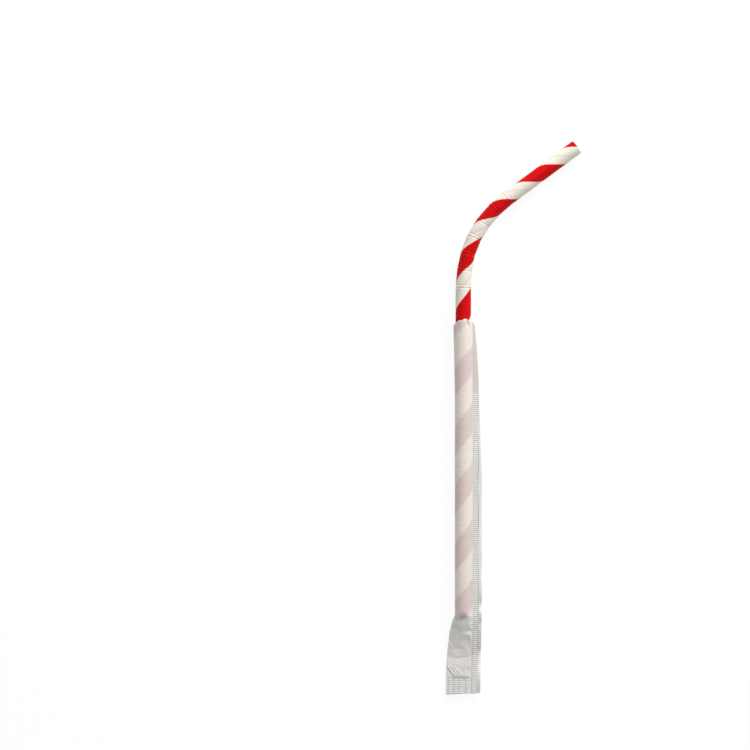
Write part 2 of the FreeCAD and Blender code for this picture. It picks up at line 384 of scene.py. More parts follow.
def pressed_paper(colours):
    """The same thin paper where the knurl has pressed it into ribs, with painted highlight on
    their crests and painted shade between them.
    """
    material, graph = new_material("pressed_paper")
    fibres, clouds = thin_paper(graph, graph.spot())
    pressing = graph.attribute("pressing")
    # Painted highlight on the ribs' crests, and painted shade in the furrows beside them.
    crest = abs(graph.attribute("crest")) * pressing
    furrow = graph.mix(pressing * graph.attribute("reach"), rgba(colours.sheet),
                       rgba(colours.between))
    base = graph.mix(graph.smooth(crest, 0.05, 0.6), furrow,
                     mottled(graph, clouds, colours.pressed, 0.92))
    finish_paper(graph, base, 0.45 + fibres * 0.15, fibres, 0.03 * MM)
    return material


def wrapping_paper(straw, wrapper, colours):
    """Thin calendered paper, tinted by the straw where it lies against it."""
    material, graph = new_material("wrapping_paper")
    spot = graph.spot()
    across, along, up = (
        wire - start for wire, start in zip(graph.separate(spot), straw_start(straw, wrapper))
    )
    fibres, clouds = thin_paper(graph, spot)
    # Where the sheet lies on the straw, and where it is over the empty tail
    reach = straw.diameter / 2 + wrapper.slack + wrapper.paper
    left_of_seam = graph.fall(across, reach + 0.1 * MM, reach + 0.4 * MM)
    ragged = (graph.noise(spot, 520.0, 1.0) - 0.5) * 5.0 * MM
    beside = graph.smooth(along + ragged, -1.5 * MM, 1.5 * MM)
    near, pocket = left_of_seam * beside, left_of_seam * (1.0 - beside)
    # Laid lines, as far apart as the ribs, and the stripe that shows through
    lines = (along * (2 * math.pi / wrapper.rib_pitch)).math("SINE")
    faded = graph.smooth(graph.noise(graph.stretched(spot, (3.0, 1.0, 1.0)), 60.0), 0.35, 0.65)
    uneven = graph.noise(graph.stretched(spot, (0.16, 1.0, 0.16)), 900.0, 1.0)
    lines = lines * faded * graph.smooth(uneven, 0.36, 0.6)
    around = across.math("ARCTAN2", up) / (2 * math.pi)
    wander = (clouds - 0.5) * 0.05 + lines * 0.006
    red = stripe_mask(graph, around + wander, along, straw, 0.045) * near
    # The fold at the straw's end and the unpressed seam at the mouth, both darkened with painted
    # shade, and the torn edge
    middle = graph.fall(abs(across + ragged * 0.4), 0.3 * MM, 2.2 * MM)
    # Painted shade where the straw's end pinches the fold, strongest in the middle across.
    pinched = middle * graph.fall(abs(along + ragged * 0.6), 0.3 * MM, 1.6 * MM)
    # Painted shade over the unpressed seam near the mouth, where it folds down.
    mouth_shade = graph.smooth(along, wrapper.knurled - 6 * MM, wrapper.knurled + 8 * MM)
    torn = graph.smooth(graph.attribute("torn") + (clouds - 0.5) * 1.2, 0.4, 1.0)
    base = mottled(graph, clouds, colours.sheet, 0.93)
    for mask, tint in [
        (graph.attribute("single_ply"), rgba(colours.margin)),
        (mouth_shade, rgba(colours.seam_shade_at_mouth)),
        (pocket, rgba(colours.pocket)),
        (near, rgba(colours.over_white)),
        (red, rgba(colours.over_red)),
        (graph.clamp(lines) * 0.3, LAID_SHADE),
        (pinched * 0.5, PINCH_SHADE),
        (graph.attribute("ply_edge_shadow") * 0.85, EDGE_SHADE),
        (torn, rgba(colours.torn)),
    ]:
        base = graph.mix(mask, base, tint)
    height = fibres * 0.3 + clouds * 0.7 + lines * 0.25
    finish_paper(graph, base, 0.5 + fibres * 0.15, height, 0.05 * MM)
    return material


# Meshes

def ramp(values, start, end):
    """Goes evenly from 0 to 1 as the values go from start to end, up or down."""
    return np.clip((values - start) / (end - start), 0.0, 1.0)


def straw_start(straw, wrapper):
    """The middle of the shank's lower end, found from the frame."""
    radius = straw.diameter / 2
    return (
        STRAW_LOW.x + radius + straw.ridge_height,
        STRAW_LOW.y,
        radius + wrapper.slack + wrapper.paper,
    )


def add_attribute(mesh, name, values):
    layer = mesh.attributes.new(name, "FLOAT", "POINT")
    layer.data.foreach_set("value", np.asarray(values, np.float32))


def link_object(name, data):
    made = bpy.data.objects.new(name, data)
    bpy.context.scene.collection.objects.link(made)
    return made


def add_piece(name, points, faces, materials, smooth=True):
    mesh = bpy.data.meshes.new(name)
    mesh.from_pydata([tuple(point) for point in points], [], faces)
    for material in materials:
        mesh.materials.append(material)
    mesh.polygons.foreach_set("use_smooth", [smooth] * len(mesh.polygons))
    if smooth:
        mesh.set_sharp_from_angle(angle=math.radians(40.0))
    mesh.update()
    return link_object(name, mesh)


# Straw

STRAW_COLUMNS = 80
# The printed wall's rings are this far apart, and closer round a crease, where so many
# rings reach so far to each side of it and the others keep clear of them.
RING_SPACING = 0.55 * MM
FINE_RINGS, FINE_REACH, FINE_CLEAR = 23, 1.1 * MM, 1.3 * MM
# The bore has one ring for so many of the printed wall's.
BORE_RING_STEP = 4
# How far a rim is pressed in at the straw's two cut ends.
RIM_PRESS = 0.05 * MM
# How deep the buckled wall's dents are, how long, and how far past the neck they go on.
DENT_DEPTH, DENT_LENGTH, DENT_REACH = 0.09 * MM, 2.6 * MM, 3 * MM
# How far to each side of a crease the paper is swallowed, and the wall follows the mitre.
TAKE_UP_REACH, MITRE_REACH = 0.6 * MM, 2.4 * MM
# Breadth of the ridge at a crease.
RIDGE_WIDTH = 0.3 * MM


def crease_turns(straw):
    shares = [
        math.sin(math.pi * (index + 0.5) / straw.crease_count) ** straw.bend_evenness
        for index in range(straw.crease_count)
    ]
    return [straw.bend * value / sum(shares) for value in shares]


def straw_stations(straw):
    """Places along the straw for the mesh's rings: even in the shank, close at the creases."""
    total = straw.shank + straw.crease_pitch * (straw.crease_count - 1) + straw.tip
    places = list(np.arange(0.0, total, RING_SPACING)) + [total]
    creases = [straw.shank + straw.crease_pitch * index for index in range(straw.crease_count)]
    fine = np.linspace(-FINE_REACH, FINE_REACH, FINE_RINGS)
    kept = [p for p in places if min(abs(p - crease) for crease in creases) > FINE_CLEAR]
    for crease in creases:
        kept += list(crease + fine)
    return np.array(sorted(kept)), creases, total


def smooth_step(value, low, high):
    t = ramp(value, low, high)
    return t * t * (3 - 2 * t)


def printed_place(straw, place, creases):
    """The place on the flat printed paper, part of which each crease has swallowed."""
    passed = sum(smooth_step(place, crease - TAKE_UP_REACH, crease + TAKE_UP_REACH)
                 for crease in creases)
    return place + straw.crease_take_up * passed


def on_straw(straw, place, angle, radius, creases):
    """The point on the bent tube at a place along it, an angle round it and a radius."""
    turns = crease_turns(straw)
    corner = np.array([0.0, 0.0])
    heading, done = 0.0, 0.0
    for crease, turn in zip(creases, turns):
        if place <= crease:
            break
        corner = corner + (crease - done) * np.array([math.sin(heading), math.cos(heading)])
        heading, done = heading + turn, crease
    nearest = int(np.argmin([abs(place - crease) for crease in creases]))
    past = place - creases[nearest]
    mitre = math.tan(turns[nearest] / 2) * max(1 - abs(past) / MITRE_REACH, 0.0)
    oval = straw.squeeze * smooth_step(place, creases[0] - 4 * MM, creases[2])
    sideways = radius * np.sin(angle) * (1 - oval)
    ahead = place - done + math.copysign(1.0, past) * sideways * mitre
    x = corner[0] + ahead * math.sin(heading) + sideways * math.cos(heading)
    y = corner[1] + ahead * math.cos(heading) - sideways * math.sin(heading)
    return np.stack([x, y, radius * np.cos(angle) * (1 + oval / 3)], axis=-1)


def crease_relief(straw, place, angle, creases):
    """How far the wall stands out at a crease: a ridge between two pressed lines."""
    turns = crease_turns(straw)
    nearest = int(np.argmin([abs(place - crease) for crease in creases]))
    past = abs(place - creases[nearest])
    inner = np.clip(np.sin(angle), 0.0, 1.0) * turns[nearest] / max(turns)
    ridge = straw.ridge_height * math.exp(-((past / RIDGE_WIDTH) ** 2))
    groove = math.exp(-(((past - straw.groove_place) / straw.groove_width) ** 2))
    groove *= 1.1 - 0.55 * (nearest / (straw.crease_count - 1)) ** 4
    return ridge - straw.groove_depth * groove * (0.85 + 0.2 * inner)


def buckle(straw, place, angle, creases):
    """Shallow dents between the creases, where the bent wall has buckled."""
    if not creases[0] - DENT_REACH < place < creases[-1] + DENT_REACH:
        return 0.0
    dents = [
        noise.noise(Vector((2.2 * math.cos(a), 2.2 * math.sin(a), place / DENT_LENGTH)))
        for a in angle
    ]
    return DENT_DEPTH * np.clip(dents, 0.0, 1.0)


def make_straw_mesh(straw, wrapper):
    """The printed wall, the bore and the rims: each face has its slot and its corners' UVs."""
    stations, creases, total = straw_stations(straw)
    start = np.array(straw_start(straw, wrapper))
    radius = straw.diameter / 2
    column = np.arange(STRAW_COLUMNS) / STRAW_COLUMNS
    seam = ramp((column + PLY_SEAM) % 1.0, 0.2, 0.0)
    points, faces, slots, uvs = [], [], [], []

    def add_ring(place, twist, size):
        angle = 2 * math.pi * (column + twist)
        points.extend(on_straw(straw, place, angle, size, creases) + start)
        return len(points) - STRAW_COLUMNS

    def add_band(low, high, slot, shift=0):
        for k in range(STRAW_COLUMNS):
            m = (k + 1) % STRAW_COLUMNS
            faces.append((low + k, low + m, high + (m + shift) % STRAW_COLUMNS,
                          high + (k + shift) % STRAW_COLUMNS))
            slots.append(slot)

    wall = []
    for place in stations:
        printed = printed_place(straw, place, creases)
        twist = (printed - straw.stripe_start) / straw.stripe_pitch
        angle = 2 * math.pi * (column + twist)
        size = radius + crease_relief(straw, place, angle, creases)
        size = size + straw.ply_step * (seam - 0.5) - buckle(straw, place, angle, creases)
        if place in (stations[0], stations[-1]):
            size = size - RIM_PRESS
        wall.append((add_ring(place, twist, size), twist, printed * UV_PER_METRE))
    for (low, twist, v), (high, high_twist, high_v) in zip(wall, wall[1:]):
        add_band(low, high, 0)
        for k in range(STRAW_COLUMNS):
            left, right = k / STRAW_COLUMNS, (k + 1) / STRAW_COLUMNS
            uvs += [(left + twist, v), (right + twist, v),
                    (right + high_twist, high_v), (left + high_twist, high_v)]
    places = sorted(set(stations[::BORE_RING_STEP]) | set(creases) | {total})
    (first, twist, _), (last, last_twist, _) = wall[0], wall[-1]
    bore = np.full(STRAW_COLUMNS, radius - straw.wall)
    bore_rings = [add_ring(place, twist, bore) for place in places]
    for low, high in zip(bore_rings[1:], bore_rings):
        add_band(low, high, 1)
    add_band(bore_rings[0], first, 1)
    add_band(last, bore_rings[-1], 1, round((last_twist - twist) * STRAW_COLUMNS))
    uvs += [(0.0, 0.0)] * (4 * len(faces) - len(uvs))
    return points, faces, slots, uvs


# Wrapper: rows of points across the sheet

# Steps of a row across the upper ply, and of the fin: out over the knurled strip, over the
# single ply, and back underneath.
PLY_STEPS, FIN_STEPS = 41, (8, 6, 6)
# How far apart the rows are in the tail, the sleeve and the mouth.
OUTER_SPACING = (0.35 * MM, 1.0 * MM, 0.6 * MM)
INNER_SPACING = (0.35 * MM, 2.0 * MM, 0.6 * MM)
# So many of the upper ply's steps run from the round sleeve to the root of the fin.
ROOT_STEPS = 5
# How much of the girth the left fold takes, and the length over which the tail spreads.
FOLD_TAKES, SPREAD_LENGTH = 0.4 * MM, 6.5 * MM
# The tail leans to the left by so much of its length.
LEAN = math.tan(math.radians(1.0))
# How far the upper ply's edge wavers on the single ply, and the length of one wave.
WAVER, WAVER_LENGTH = 0.6 * MM, 11 * MM
# How far down the torn line bends the rows, and how much lower the lower ply is torn.
TEAR_REACH, TEAR_DROP = 12 * MM, 0.9 * MM
# How far the tail crumples, finely and broadly, and how far the sleeve swells.
FINE_CRUMPLE, BROAD_CRUMPLE, SWELL = 0.09 * MM, 0.08 * MM, 0.1 * MM
# Where these are: each sets in from its first place along the wrapper to its second, in
# millimetres from the straw's end.
FOLDED = [(0.2, -0.7), (-24.75, -24.45)]
CRUMPLED = [(0.0, -4.0), (-30.0, -24.0)]
WRINKLED = [(-24.6, -23.8)]
SWOLLEN = [(0.0, 5.0), (100.0, 80.0)]
# Where the sheet begins to fall past the straw's rim, and its room above the straw.
RIM, STRAW_ROOM = -0.4 * MM, 0.03 * MM
# The curl starts so far inside the single ply's edge.
CURL_START = 0.3 * MM


def tangent_angle(radius, reach, rise):
    """The angle at which a line from a point beside a circle touches the circle."""
    return math.atan2(rise, reach) + math.acos(radius / math.hypot(reach, rise))


class Sheet:
    """The wrapper's form: where the sheet runs at each place along it, in metres."""

    # Creases across the tail: how far down it, and for each of two ridges its place across
    # and how puffed up it is, all as shares.
    creases = [
        (0.07, 0.38, 0.95, 0.80, 0.85),
        (0.29, 0.25, 0.65, 0.72, 1.00),
        (0.66, 0.40, 0.55, 0.62, 0.25),
        (0.88, 0.22, 0.35, 0.60, 0.45),
    ]

    def __init__(self, straw, wrapper):
        self.w = wrapper
        self.radius = straw.diameter / 2 + wrapper.slack + wrapper.paper
        self.seam = self.radius + wrapper.seam_offset
        angle = tangent_angle(self.radius, self.seam, wrapper.paper)
        self.girth = self.radius * (math.pi - angle + math.tan(angle))
        self.clear = 0.3 * MM
        top = wrapper.crimp - wrapper.tail
        free = top + self.clear
        self.places = [-wrapper.tail - wrapper.knurl_width, top]
        self.places += [free * crease[0] - self.clear for crease in reversed(self.creases)]
        self.heights = [self.dipping(place) for place in self.places + [-self.clear]]

    def dipping(self, y):
        """The height of the sheet's middle as it dips to the floor past the straw's end."""
        dip, flat, cut_end = 16 * MM, 1.0 * MM, 1.6 * MM
        if y >= 0:
            return self.radius
        if y >= -dip:
            share = 0.5 - 0.5 * math.cos(math.pi * y / dip)
            return self.radius + (flat - self.radius) * share
        return flat + (cut_end - flat) * (y + dip) / (dip - self.w.tail)

    def height(self, y):
        return float(np.interp(y, self.places + [-self.clear], self.heights))

    def lean(self, y):
        return LEAN * min(y + self.clear, 0.0)

    def left(self, y):
        """The folded left side, which spreads as the tail flattens."""
        spread = self.girth - FOLD_TAKES - self.radius - self.seam
        return -self.radius - spread * (1 - math.exp(y / SPREAD_LENGTH))

    def fin(self, y, seam, height, margin, droop):
        """The seam's fin: upper side out to the edge, and back along its underside."""
        paper, knurl = self.w.paper, self.w.knurl_width
        ups, steps, unders = FIN_STEPS
        whole, gap = knurl + margin, 0.02 * MM
        waver = noise.noise(Vector((0.0, y / WAVER_LENGTH, 5.0))) * WAVER
        edge = knurl + min(waver, 0.6 * margin) if margin > 0.5 * MM else knurl
        along = [(edge * i / ups, paper) for i in range(ups + 1)]
        along += [(edge + gap + (whole - edge) * i / steps, 0.0) for i in range(steps + 1)]
        along += [(whole + gap, -paper)]
        along += [(whole * (1 - i / unders), -paper) for i in range(1, unders + 1)]
        return [
            (seam + a * math.cos(droop) + u * math.sin(droop), y,
             height - a * math.sin(droop) + u * math.cos(droop))
            for a, u in along
        ]

    def round_row(self, y, inset, flare, margin, droop):
        """A row round the straw; one with an inset is the sheet's inner side."""
        radius = height = self.radius + flare
        centre = -flare * 0.5
        angle = tangent_angle(radius, self.seam - centre, self.w.paper)
        fold = 0.0 if inset else math.asin(self.w.paper / radius)
        size = radius - inset
        turns = np.linspace(math.pi - fold, angle, PLY_STEPS + 1 - ROOT_STEPS)
        upper = [(centre + size * math.cos(t), size * math.sin(t)) for t in turns]
        cusp = (centre + size / math.cos(angle), 0.0)
        root = cusp if inset else (self.seam, self.w.paper)
        last = upper[-1]
        for index in range(1, ROOT_STEPS + 1):
            t = index / (ROOT_STEPS + 0.5)
            upper.append((last[0] + (root[0] - last[0]) * t, last[1] + (root[1] - last[1]) * t))
        lower = [(x, y, height - up) for x, up in reversed(upper)]
        upper = [(x, y, height + up) for x, up in upper]
        if inset:
            return upper + [(cusp[0], y, height)] + lower[:-1]
        return upper + self.fin(y, self.seam, height, margin, droop) + lower

    def flat_row(self, y, inset, places=(1 / 3, 2 / 3), puffs=(0.0, 0.0)):
        """A row across the flat tail, with two ridges at shares of its width."""
        paper = self.w.paper
        seam, left = self.seam + self.lean(y), self.left(y) + self.lean(y)
        height, width = self.height(y), seam - left
        slant = (self.girth - width / 3) / 2
        most = math.sqrt(max(slant ** 2 - (width / 3) ** 2, 0.0))
        least = paper if max(puffs) == 0 else 2.2 * paper
        rises = [max(most * puff, least) for puff in puffs]
        drop = min(sum(rises) / 2, height - paper / 2)
        blunt, lip = (1.5 * paper, 0.0) if inset else (0.0, paper)
        xs = [left + blunt, left + width * places[0], left + width * places[1], seam - blunt]
        tops = [lip, rises[0] - inset, rises[1] - inset, lip]
        lows = [-lip, inset - drop, inset - drop, -lip]
        spots = np.linspace(0, 3, PLY_STEPS + 2)[:-1]
        upper, lower = (
            [(x, y, height + up) for x, up in zip(np.interp(spots, range(4), xs),
                                                  np.interp(spots, range(4), ups))]
            for ups in (tops, lows)
        )
        if inset:
            return upper + [(seam - blunt, y, height)] + lower[:0:-1]
        return upper + self.fin(y, seam, height, self.w.margin, 0.0) + lower[::-1]

    def rows(self, inset, spacings):
        """Rows from the cut end to the mouth, with the tail's rows filled in evenly."""
        w = self.w
        tail = [] if inset else [(y, self.flat_row(y, inset)) for y in (-w.tail, self.places[1])]
        for y, crease in zip(self.places[2:], reversed(self.creases)):
            tail.append((y, self.flat_row(y, inset, crease[1::2], crease[2::2])))
        tail.append((-self.clear, self.round_row(-self.clear, inset, 0.0, w.margin, 0.0)))
        rows = []
        for (low, row), (high, next_row) in zip(tail, tail[1:]):
            count = max(round((high - low) / spacings[0]), 1)
            for index in range(count):
                t = index / count
                rows.append(np.array(row) * (1 - t) + np.array(next_row) * t)
        mouth = w.covered - w.knurled
        for y in [*np.arange(-self.clear, w.knurled, spacings[1]),
                  *np.linspace(w.knurled, w.covered, round(mouth / spacings[2]))]:
            share = max((y - w.knurled) / mouth, 0.0)
            taper = ramp(y, w.knurled, w.knurled - w.margin_taper)
            margin = w.trimmed_margin + (w.margin - w.trimmed_margin) * taper
            rows.append(np.array(self.round_row(y, inset, w.flare * share, margin,
                                                w.droop * share)))
        return np.array(rows)


def torn_line(x, drop):
    """How far the torn mouth rises above or falls below the covered length."""
    arch = np.clip(1 - ((x - 0.6 * MM) / (3.2 * MM)) ** 2, -1.0, 1.0)
    teeth = sum(
        size * np.sin(2 * math.pi * x / (pitch * MM) + phase + drop / MM)
        for size, pitch, phase in [(0.2, 2.7, 0.0), (0.13, 1.2, 0.9), (0.07, 0.63, 2.0)]
    )
    return 2.2 * MM * (0.5 + 0.5 * arch) - drop + teeth * MM


def crumple(grid, size, seed):
    """Smooth uneven values from -1 to 1, one for each point of a grid."""
    offset = Vector((seed * 7.3, seed * 3.1, seed * 1.7))
    stretched = grid / (np.array(size) * MM)
    values = [noise.noise(Vector(point) + offset) for point in stretched.reshape(-1, 3)]
    return np.array(values).reshape(grid.shape[:2])


# Corners of the tail's facets: across and along from the middle of the straw's end, and
# how high above the floor the upper ply stands there, in millimetres.
FACETS = [
    (-3.4, 0.4, 4.3), (-2.3, 0.4, 5.45), (-1.2, 0.4, 6.15), (0.0, 0.4, 6.4), (1.2, 0.4, 6.15),
    (2.3, 0.4, 5.45), (3.3, 0.4, 4.1),
    (-3.0, -0.8, 4.75), (-1.7, 0.1, 6.0), (-1.3, -1.2, 5.0), (0.3, -1.7, 5.3),
    (0.9, 0.0, 6.25), (2.2, -0.5, 5.5), (3.1, -0.6, 4.5),
    (-3.7, -2.2, 4.05), (-4.4, -4.3, 3.35), (-0.6, -3.4, 5.05), (1.7, -3.3, 4.8),
    (3.0, -3.3, 4.1), (-4.5, -6.6, 2.9), (-0.6, -6.3, 3.9), (-0.4, -7.5, 3.45),
    (2.6, -8.2, 2.85), (3.3, -8.2, 2.5), (-5.3, -13.3, 1.65), (-2.4, -10.2, 2.6),
    (0.7, -13.7, 1.6), (2.4, -14.4, 1.45), (-2.5, -17.2, 1.35), (0.4, -16.8, 1.25),
    (2.9, -16.4, 1.3), (-5.5, -19.7, 1.6), (-3.0, -19.4, 1.7), (0.3, -20.4, 1.75),
    (2.8, -20.0, 1.7), (-5.4, -24.2, 1.6), (-2.2, -24.2, 1.72), (0.9, -24.1, 1.88),
    (2.8, -24.1, 1.78), (-6.2, -24.7, 1.5), (-2.0, -24.8, 1.5), (3.3, -24.7, 1.5),
]
LIPS = [0.4, -0.9, -2.5, -4.4, -6.5, -8.2, -10.5, -13.3, -16.4, -19.8, -22.0, -24.8]

# How steeply the upper ply falls past the straw's end: a place across, and the steepness.
FALLS = [(-3.3, 1.4), (-2.1, 0.45), (-1.0, 1.3), (0.2, 2.0), (1.1, 0.7), (2.0, 0.3), (3.2, 0.5)]

# Fine wrinkles of the upper ply: two ends across and along, how high, and how broad, in
# millimetres from the middle of the straw's end. One with a negative height is a furrow.
WRINKLES = [
    ((-3.3, -0.5), (-1.5, 0.3), 0.3, 0.55),
    ((-4.6, -6.7), (2.5, -8.2), 0.1, 0.45),
    ((2.0, -8.7), (2.1, -13.2), -0.14, 0.5),
    ((-3.6, -2.4), (-1.4, -5.4), 0.1, 0.6),
    ((-5.2, -9.5), (-3.6, -12.4), -0.14, 0.6),
    ((-2.6, -17.2), (2.9, -16.4), -0.12, 0.5),
    ((0.9, -17.6), (1.0, -23.0), 0.08, 0.4),
    ((-5.8, -20.3), (-2.9, -24.0), 0.38, 0.5),
    ((-4.7, -20.1), (-1.8, -24.0), 0.34, 0.5),
    ((-3.5, -20.2), (-0.7, -24.0), 0.26, 0.5),
    ((-2.2, -21.2), (0.3, -24.0), 0.2, 0.5),
    ((0.6, 112.7), (1.9, 109.9), -0.45, 0.8),
    ((1.9, 109.9), (1.95, 102.5), -0.3, 0.8),
    ((-2.4, 111.4), (-1.5, 107.0), -0.14, 0.7),
]

# Curl of the seam's single-ply margin: a place along the seam, and how far the edge rises
# there, in millimetres.
CURLS = [
    (-31.0, 0.9), (-26.0, 0.7), (-22.5, 0.0), (-19.5, -0.8), (-14.2, -0.8), (-12.6, 0.45),
    (-8.0, 0.5), (-3.5, -0.1), (-1.8, 0.45), (0.8, 0.3), (2.2, -0.9), (4.4, -0.9), (5.6, 0.2),
    (8.0, 0.35), (12.0, 0.0), (16.0, -0.5), (24.0, -0.1), (33.0, -0.5), (42.0, -0.3),
    (52.0, 0.1), (61.0, -0.3), (70.0, 0.0), (84.0, 0.0),
]


def within(y, spans):
    """One inside all the spans, and zero before any of them sets in."""
    return math.prod(ramp(y, first * MM, second * MM) for first, second in spans)


def facet_heights(sheet, spots):
    """Heights above the floor of the crumpled tail's facets, at places on the upper ply."""
    corners = [Vector((x, y)) for x, y, _ in FACETS]
    heights = [height for _, _, height in FACETS]
    for y in LIPS:
        lip = (sheet.height(y * MM) + sheet.w.paper) / MM
        left = (sheet.left(y * MM) + sheet.lean(y * MM)) / MM
        corners += [Vector((left - 0.01, y)), Vector((sheet.seam / MM + 0.01, y))]
        heights += [lip, lip]
    found = delaunay_2d_cdt(corners, [], [], 0, 1e-5)
    at = np.array([tuple(corner) for corner in found[0]])
    z = np.array([heights[origin[0]] for origin in found[3]])
    x, y = spots[..., 0] / MM, spots[..., 1] / MM
    result = np.full(x.shape, np.nan)
    for a, b, c in (list(face) for face in found[2]):
        side, other = at[b] - at[a], at[c] - at[a]
        area = side[0] * other[1] - side[1] * other[0]
        if abs(area) < 1e-9:
            continue
        u = ((x - at[a][0]) * other[1] - (y - at[a][1]) * other[0]) / area
        v = (side[0] * (y - at[a][1]) - side[1] * (x - at[a][0])) / area
        within = (u >= -1e-6) & (v >= -1e-6) & (u + v <= 1 + 1e-6)
        result = np.where(within, z[a] + u * (z[b] - z[a]) + v * (z[c] - z[a]), result)
    for row, places in zip(result, x):
        known = ~np.isnan(row)
        if known.sum() > 1:
            row[:] = np.interp(places, places[known], row[known])
    return result * MM


def soften(values, rounds):
    """Averages each value of a grid with its neighbours, which rounds the facets' edges."""
    for _ in range(rounds):
        padded = np.pad(values, 1, mode="edge")
        values = (padded[:-2, 1:-1] + padded[2:, 1:-1] + padded[1:-1, :-2] + padded[1:-1, 2:]
                  + 4 * values) / 8
    return values


def wrinkle_relief(grid):
    """How far the wrinkles lift each point of a grid."""
    lift = np.zeros(grid.shape[:2])
    spots = grid[:, :, :2]
    for first, last, height, breadth in WRINKLES:
        a, b = np.array(first) * MM, np.array(last) * MM
        along = np.clip(((spots - a) @ (b - a)) / ((b - a) @ (b - a)), 0, 1)
        away = np.linalg.norm(spots - a - along[..., None] * (b - a), axis=-1)
        lift += height * MM * ramp(away, breadth * MM, 0.0)
    return lift * within(grid[:, :, 1], WRINKLED)


def fold_tail(grid, inset, sheet):
    """Facets, wrinkles and crumples the upper ply of the tail."""
    y = grid[:, :, 1]
    upper = slice(0, PLY_STEPS + 1)
    faceted = facet_heights(sheet, grid[:, upper, :2])
    rows = ~np.isnan(faceted).any(axis=1)
    target = grid[:, upper, 2].copy()
    target[rows] = soften(faceted[rows], 2) - inset
    edge = np.minimum(np.arange(PLY_STEPS + 1), np.arange(PLY_STEPS + 1)[::-1])
    folded = within(y[:, upper], FOLDED) * ramp(edge, 0, 2)
    grid[:, upper, 2] += folded * (target - grid[:, upper, 2])
    fine = FINE_CRUMPLE * crumple(grid, (2.4, 3.2, 9.0), 1)
    broad = BROAD_CRUMPLE * crumple(grid, (5.0, 7.0, 9.0), 2)
    lift = wrinkle_relief(grid) + within(y, CRUMPLED) * (fine + broad)
    grid[:, upper, 2] += ramp(edge, 0, 4) * lift[:, upper]


def keep_clear(grid, far_from, inset, straw, sheet):
    """Keeps the upper ply off the lower one, and both off the straw, with a slight swell."""
    paper = sheet.w.paper
    x, y = grid[:, :, 0], grid[:, :, 1]
    lower = grid[:, far_from:, 2][:, ::-1]
    count = lower.shape[1]
    least = lower + (0.1 * paper if inset else 2.1 * paper) * (y[:, :count] < 0)
    grid[:, :count, 2] = np.maximum(grid[:, :count, 2], least)
    around = np.stack([x, 0 * x, grid[:, :, 2] - sheet.radius], axis=-1)
    distance = np.linalg.norm(around, axis=-1)
    outward = around / np.maximum(distance, MM)[..., None]
    swell = SWELL * within(y, SWOLLEN) * (0.5 + 0.5 * crumple(grid, (9.0, 6.0, 9.0), 3))
    swell *= grid[:, :, 2] > sheet.radius
    nearest = straw.diameter / 2 + straw.ply_step / 2 + STRAW_ROOM + (0.0 if inset else paper)
    gone = np.clip(RIM - y, 0, None)
    falling = np.interp(x / MM, *np.array(FALLS).T) * gone + 0.2 * gone * gone / MM
    short = np.clip(nearest - falling - distance, 0, None)
    short[:, far_from:] *= y[:, far_from:] > RIM
    moved = swell + short
    moved[:, PLY_STEPS + 1:far_from] = 0
    grid += outward * moved[..., None]


def curl_margin(grid, sheet):
    """Curls the seam's single ply up and down along it."""
    x, y = grid[:, :, 0], grid[:, :, 1]
    leaning = sheet.lean(-sheet.w.tail) * ramp(y, 0.0, -sheet.w.tail)
    root = sheet.seam + sheet.w.knurl_width + leaning
    beyond = ramp(x, root - CURL_START, root + sheet.w.margin)
    places, rises = np.array(CURLS).T * MM
    grid[:, :, 2] += np.interp(y, places, rises) * beyond ** 1.5


def wrapper_attributes(outer, inner):
    """Where the sheet is torn, is one ply thick, and has the upper ply's edge lying on it, with
    painted shadow along that edge.
    """
    marks = {name: [] for name in ("torn", "single_ply", "ply_edge_shadow")}
    for grid in (outer, inner):
        torn, single, edge = (np.zeros(grid.shape[:2]) for _ in range(3))
        torn[-1], torn[-2] = 1.0, 0.35
        if grid is outer:
            first = PLY_STEPS + 1 + FIN_STEPS[0]
            single[:, first + 1:first + FIN_STEPS[1] + 2] = 1.0
            fade = [noise.noise(Vector((3.0, y / (16 * MM), 2.0))) for y in grid[:, 0, 1]]
            fade = np.clip(0.55 + 1.6 * np.array(fade), 0.15, 1.0)
            # Painted shadow along the upper ply's edge, fading in and out along the seam.
            for column, strength in enumerate((0.5, 1.0, 0.3), first):
                edge[:, column] = strength * fade
        for name, values in zip(marks, (torn, single, edge)):
            marks[name] += list(values.ravel())
    return marks


def tear_mouth(grid, uppers):
    """Bends the rows near the mouth to its torn line, which the lower ply has lower down."""
    across, top = grid[-1, :, 0], grid[-1, :, 1].max()
    rise = np.where(np.arange(len(across)) < uppers,
                    torn_line(across, 0.0), torn_line(across, TEAR_DROP))
    grid[:, :, 1] += ramp(grid[:, :, 1], top - TEAR_REACH, top) ** 2 * rise


def slant_cut(grid, tail):
    """Cuts the wrapper's end at a slight slant."""
    near = ramp(grid[:, :, 1], 3 * MM - tail, -tail)
    grid[:, :, 1] += near * math.tan(math.radians(3.5)) * grid[0, :, 0]


